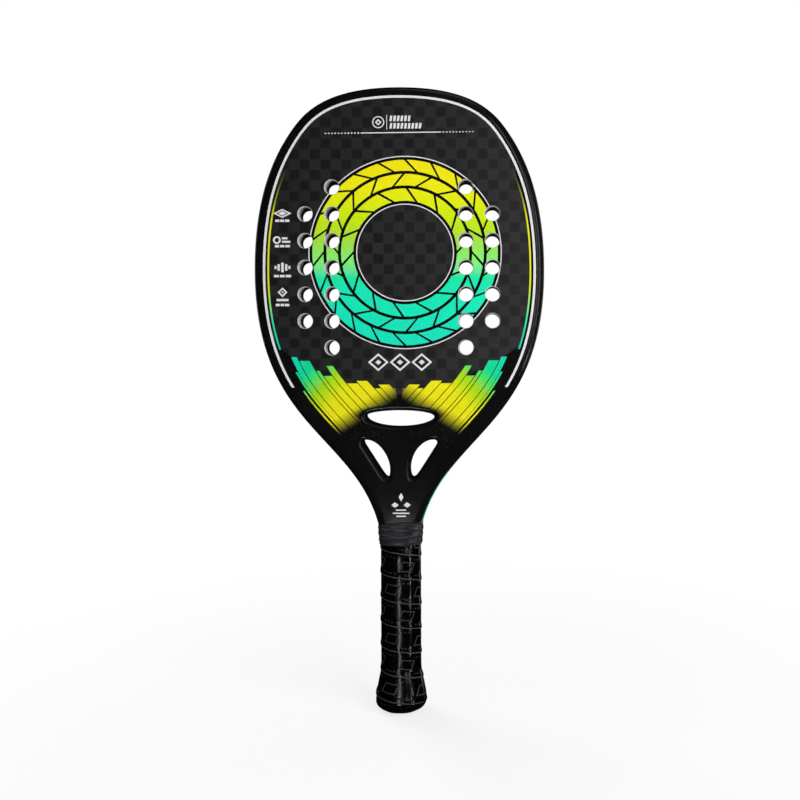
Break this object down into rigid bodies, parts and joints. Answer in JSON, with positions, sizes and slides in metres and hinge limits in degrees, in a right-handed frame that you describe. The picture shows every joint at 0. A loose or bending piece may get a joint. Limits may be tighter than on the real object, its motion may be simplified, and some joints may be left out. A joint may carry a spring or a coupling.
{
  "type": "beach tennis racket",
  "caption": "Beach tennis racket with a drilled foam-core head, a windowed throat, a wound grip and a flared butt cap.",
  "frame": {"origin": "middle of the butt end's flat", "axes": "+Z along the handle towards the crown, +X across the head, front face towards -Y"},
  "size_m": [0.232, 0.0369, 0.5],
  "materials": {
    "carbon_paint": "satin black paint over laminate",
    "face_weave": "satin clear coat over chequered woven laminate",
    "core_foam": "cut soft foam",
    "handle_foam": "moulded rigid foam",
    "cap_black": "moulded",
    "grip_black": "glossy embossed grip tape",
    "tape_black": "stretched vinyl tape",
    "staple_steel": "drawn wire"
  },
  "bodies": {
    "root": {"frame_tube": "carbon_paint", "throat_bridge": "carbon_paint", "foam_core": "core_foam", "front_skin": "face_weave", "rear_skin": "face_weave", "handle_spine": "handle_foam", "leg_plug_left": "core_foam", "leg_plug_right": "core_foam", "front_pallet": "handle_foam", "rear_pallet": "handle_foam", "butt_cap": "cap_black", "front_staple": "staple_steel", "rear_staple": "staple_steel", "grip_wrap": "grip_black", "finishing_tape": "tape_black"}
  },
  "joints": []
}
